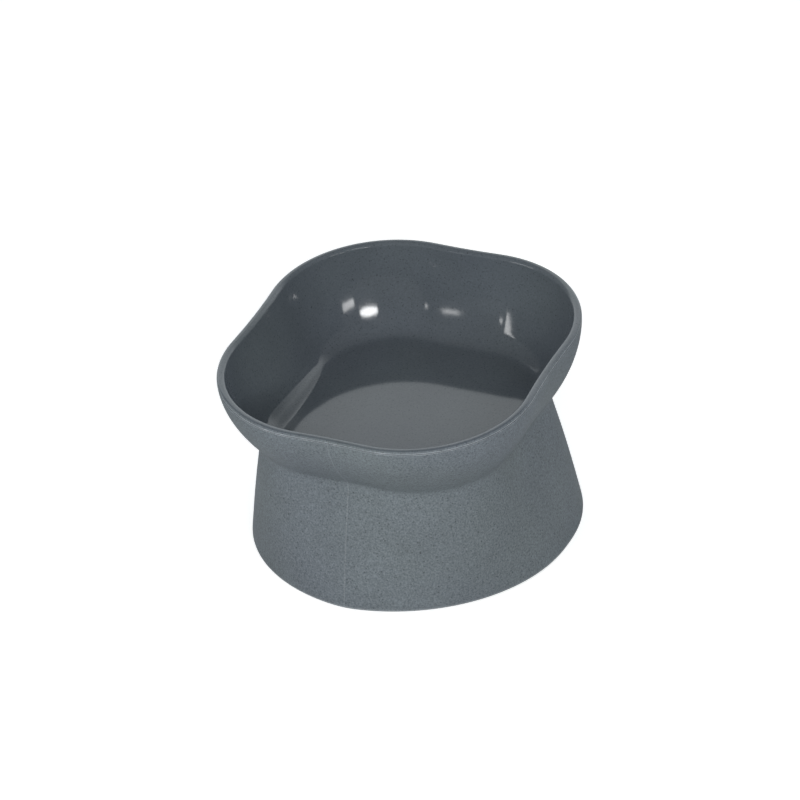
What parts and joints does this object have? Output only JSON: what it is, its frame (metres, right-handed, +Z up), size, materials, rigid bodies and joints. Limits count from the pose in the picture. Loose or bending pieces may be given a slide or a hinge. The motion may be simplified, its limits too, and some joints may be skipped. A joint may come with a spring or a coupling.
{
  "type": "raised pet bowl",
  "caption": "Raised pet bowl with a slanted mouth: a rounded square bowl moulded in one piece with a flared hollow skirt that stands on the floor.",
  "frame": {"origin": "middle of the overall footprint, on the plane of the foot", "axes": "+Z up from the foot, the mouth slants down towards -Y where the pet feeds, X across the bowl"},
  "size_m": [0.1434, 0.1676, 0.1016],
  "materials": {
    "speckled_plastic": "fine matte texture outside, polished inside and on the lip, with fine dark specks"
  },
  "bodies": {
    "root": {"bowl": "speckled_plastic"}
  },
  "joints": []
}
